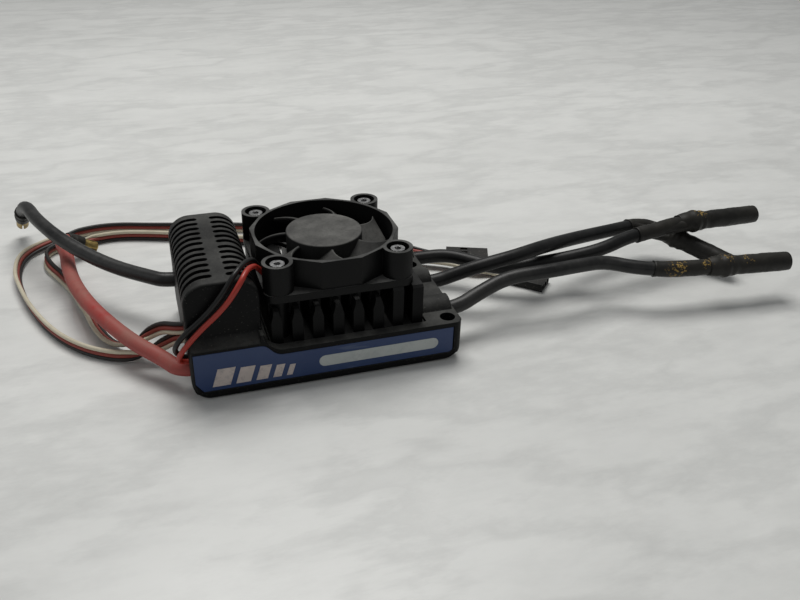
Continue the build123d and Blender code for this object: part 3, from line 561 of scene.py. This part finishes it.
# The bullet's cover reaches back over the sleeve and forward past the wire's end
COVER_BACK = {"a": 0.0110, "b": 0.0055, "c": 0.0085}
COVER_FRONT = 0.0187
COVER_R, COVER_BORE_R = 0.00300, 0.00252
# Share of the length, width and height of each bump along a motor sleeve and a cover
SLEEVE_LUMPS = [(0.0, 0.02, 0.00012), (0.93, 0.07, 0.0004)]
COVER_LUMPS = [(0.0, 0.04, -0.0003), (0.10, 0.05, 0.0002), (0.20, 0.05, 0.0007),
               (0.29, 0.03, 0.0003), (0.37, 0.03, -0.0001), (0.99, 0.015, -0.00012)]
for number, (letter, route) in enumerate(MOTOR_ROUTES.items()):
    material = "dusty_wire" if letter == "c" else "black_wire"
    wire = round_wire(f"motor_wire_{letter}", route, WIRE, material)
    line = followed(route)
    covered = last_part(line, SLEEVE_L[letter] * MM)
    profile = lumpy(SLEEVE_R, SLEEVE_LUMPS, seed=number * 5.0)
    sleeve = shrink_tube(f"motor_sleeve_{letter}", covered, profile, SLEEVE_BORE_R)
    axis = (line[-1] - line[-2]).normalized()
    ends = [line[-1] - axis * COVER_BACK[letter], line[-1] + axis * COVER_FRONT]
    profile = lumpy(COVER_R, COVER_LUMPS, seed=number * 7.0 + 2, rough=0.00014)
    cover = shrink_tube(f"motor_barrel_cover_{letter}", resampled(ends, COVER_STEP), profile,
                        COVER_BORE_R, sides=28)

BATTERY_ROUTES = {
    "positive": [(-32.4, -18.0, 6.2), (-38.8, -18.0, 6.2), (-42.7, -11.6, 6.6), (-48.9, -5.1, 7.8),
                 (-55.0, 4.8, 8.8), (-60.8, 17.4, 9.2), (-64.7, 30.3, 8.9), (-66.8, 42.8, 8.6),
                 (-67.5, 53.6, 8.3), (-69.4, 61.6, 8.2), (-68.7, 66.1, 7.8), (-65.6, 66.8, 6.0)],
    "negative": [(-32.4, 16.8, 14.0), (-39.0, 16.8, 14.0), (-43.4, 21.0, 13.8), (-50.6, 28.0, 13.5),
                 (-57.4, 35.0, 14.1), (-64.0, 42.7, 15.4), (-69.4, 50.6, 16.4), (-73.4, 58.6, 16.9),
                 (-76.6, 66.6, 16.9), (-78.7, 74.1, 16.8), (-81.1, 80.3, 14.6), (-82.2, 84.3, 10.0)],
}
# Material, slot, the point where the wire leaves the case, and length
BATTERY_FACTS = {
    "positive": ("red_wire", "wire_red", (-END_WALL, -0.018, 0.0062), 0.1008),
    "negative": ("dusty_wire", "wire_black", (-END_WALL, 0.0168, 0.0140), 0.0904),
}
BATTERY_SLEEVE_R, BATTERY_SLEEVE_BORE_R = 0.00246, 0.0019
# Half of a battery sleeve lies on its wire, and the other half on the bullet
BATTERY_SLEEVE_HALF = 0.0028
BATTERY_SLEEVE_LUMPS = [(0.05, 0.06, 0.0002), (0.5, 0.07, 0.0002), (0.97, 0.05, -0.0003)]
for pole, (material, slot, exit_point, length) in BATTERY_FACTS.items():
    route = BATTERY_ROUTES[pole]
    wire = round_wire(f"battery_wire_{pole}", route, WIRE, material)
    line = followed(route)
    axis = (line[-1] - line[-2]).normalized()
    covered = last_part(line, BATTERY_SLEEVE_HALF) + [line[-1] + axis * BATTERY_SLEEVE_HALF]
    profile = lumpy(BATTERY_SLEEVE_R, BATTERY_SLEEVE_LUMPS, seed=31.0)
    sleeve = shrink_tube(f"battery_sleeve_{pole}", resampled(covered, COVER_STEP), profile,
                         BATTERY_SLEEVE_BORE_R)

# Flat leads: three joined conductors. Their middle is at TILTED where a lead stands on edge or
# leans, which is most of its way, and at LOW where it lies flat by its plug.
LOW, TILTED = 0.75, 2.0
SIGNAL_ROUTES = {
    "1": [(-34.0, -9.0, 13.2), (-38.0, -9.0, 13.2), (-41.8, -3.8, 11.4), (-45.6, 0.4, 7.4),
          (-50.0, 2.2, 3.6), (-54.9, 5.3, TILTED), (-59.0, 13.1, TILTED), (-61.7, 25.0, TILTED),
          (-64.7, 37.4, TILTED), (-69.5, 49.5, TILTED), (-74.9, 60.4, TILTED), (-75.5, 69.5, TILTED),
          (-71.2, 73.4, TILTED), (-62.4, 74.8, TILTED), (-53.0, 77.0, TILTED), (-41.0, 73.8, TILTED),
          (-20.0, 65.6, TILTED), (12.0, 50.4, TILTED), (40.0, 31.4, TILTED), (52.2, 25.4, TILTED),
          (58.4, 18.4, TILTED), (63.6, 18.4, 1.5), (67.2, 14.9, LOW)],
    "2": [(-34.0, -9.0, 10.9), (-38.0, -9.0, 10.9), (-41.2, -5.4, 7.4), (-45.4, -2.6, 3.8),
          (-50.3, -2.0, 2.4), (-56.3, 0.4, TILTED), (-63.8, 6.0, TILTED), (-70.8, 15.2, TILTED),
          (-76.9, 28.4, TILTED), (-81.3, 42.8, TILTED), (-84.2, 57.0, TILTED), (-82.8, 69.8, TILTED),
          (-76.0, 76.6, TILTED), (-67.0, 82.2, TILTED), (-54.6, 84.6, TILTED), (-38.0, 79.2, TILTED),
          (-8.5, 72.0, TILTED), (22.0, 56.8, TILTED), (46.4, 35.6, 1.6), (53.9, 32.7, LOW)],
}
# Degrees that each ribbon is turned about its own line, at shares of its length
ROLLS = {
    "1": [(0.0, -80), (0.05, -80), (0.10, 28), (0.19, 28), (0.26, -50), (0.33, -50), (0.375, -85),
          (0.405, -85), (0.455, 88), (0.74, 88), (0.82, 148), (0.93, 150), (0.985, 180), (1.0, 180)],
    "2": [(0.0, 110), (0.035, 110), (0.09, 272), (0.22, 268), (0.29, 257), (0.36, 246), (0.40, 234),
          (0.44, 212), (0.495, 90), (0.90, 90), (0.985, 0), (1.0, 0)],
}
LEAD_COLOURS = {
    "1": ("lead_white", "lead_red", "lead_black"),
    "2": ("lead_black", "lead_red", "lead_white"),
}
CONDUCTOR_R, CONDUCTOR_PITCH, RIBBON_WIDTH = 0.00062, 0.0012, 0.0036


def between(table, share):
    """The value at a share of the way, eased from one entry of a table to the next."""
    for (a, low), (b, high) in zip(table, table[1:]):
        if share <= b:
            part = (share - a) / (b - a)
            return low + (high - low) * part * part * (3 - 2 * part)
    return table[-1][1]


for number, route in SIGNAL_ROUTES.items():
    line = resampled(followed(route), LEAD_STEP)
    rolled = []
    for i, (tangent, side, third) in enumerate(frames_along(line)):
        turn = math.radians(between(ROLLS[number], i / (len(line) - 1)))
        rolled.append((tangent, side * math.cos(turn) + third * math.sin(turn),
                       third * math.cos(turn) - side * math.sin(turn)))
    ribbon = bmesh.new()
    for k, offset in enumerate((CONDUCTOR_PITCH, 0.0, -CONDUCTOR_PITCH)):
        shift = [side * offset for _, side, _ in rolled]
        skin(ribbon, line, rolled, lambda share, angle: CONDUCTOR_R, index=k, sides=12, shift=shift)
    lead = mesh_piece(f"signal_lead_{number}_skin", ribbon,
                      [MATERIALS[colour] for colour in LEAD_COLOURS[number]])
    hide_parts(f"signal_lead_{number}")

FAN_WIRE_ROUTES = {
    "black": [(-15.2, -10.7, 28.4), (-16.8, -11.0, 31.0), (-18.0, -13.2, 33.2), (-20.6, -16.8, 34.2),
              (-23.6, -21.6, 33.8), (-27.0, -23.0, 29.6), (-30.4, -22.4, 25.2), (-33.8, -22.2, 22.0),
              (-36.8, -22.0, 19.4), (-39.4, -21.2, 16.0), (-39.6, -18.4, 12.0), (-36.8, -17.8, 9.4),
              (-29.0, -17.8, 9.4)],
    "red": [(-15.2, -12.6, 28.4), (-16.8, -13.0, 30.8), (-18.2, -15.6, 32.4), (-20.2, -20.0, 34.0),
            (-22.4, -23.8, 32.8), (-25.4, -23.8, 28.2), (-28.6, -23.2, 24.4), (-32.4, -22.9, 21.0),
            (-35.8, -22.9, 17.6), (-38.6, -22.2, 13.8), (-39.2, -20.0, 10.4), (-36.2, -19.4, 9.4),
            (-29.0, -19.4, 9.4)],
}
for colour, route in FAN_WIRE_ROUTES.items():
    wire = round_wire(f"fan_wire_{colour}", route, FAN_WIRE, f"fan_{colour}")


# ---------------------------------------------------------------- label print
LABEL_FACE = -23.85


def flat_shape(name, outline, thickness, material):
    """A thin raised print on the label, from an outline of (x, z) points."""
    mesh = bmesh.new()
    front = [mesh.verts.new((x * MM, (LABEL_FACE - thickness) * MM, z * MM)) for x, z in outline]
    back = [mesh.verts.new((x * MM, LABEL_FACE * MM, z * MM)) for x, z in outline]
    mesh.faces.new(front)
    mesh.faces.new(back[::-1])
    for i in range(len(outline)):
        j = (i + 1) % len(outline)
        mesh.faces.new((front[i], back[i], back[j], front[j]))
    return mesh_piece(name, mesh, [material])


def pill(x0, x1, z, height, steps=14):
    """Outline of a bar with round ends, from x0 to x1 and centred on z."""
    r = height / 2
    turns = [math.pi * k / steps for k in range(steps + 1)]
    right = [(x1 - r + r * math.sin(turn), z + r * math.cos(turn)) for turn in turns]
    left = [(x0 + r - r * math.sin(turn), z - r * math.cos(turn)) for turn in turns]
    return right + left


PILL_THICKNESS, BAR_THICKNESS = 0.04, 0.03
flat_shape("label_pill", pill(-3.6, 29.6, 6.2, 3.3), PILL_THICKNESS, MATERIALS["patch"])

# Plain slanted bars: left edge, width and height of each
BARS = ((-31.6, 4.6, 5.2), (-25.6, 3.8, 4.7), (-20.4, 3.0, 4.2), (-16.0, 2.2, 3.7), (-12.4, 1.5, 3.2))
BAR_FOOT, BAR_SLANT = 3.6, 0.32
for k, (x, width, height) in enumerate(BARS):
    lean, top = height * BAR_SLANT, BAR_FOOT + height
    outline = [(x, BAR_FOOT), (x + width, BAR_FOOT), (x + width + lean, top), (x + lean, top)]
    flat_shape(f"label_bar_{k + 1}", outline, BAR_THICKNESS, MATERIALS["ink"])
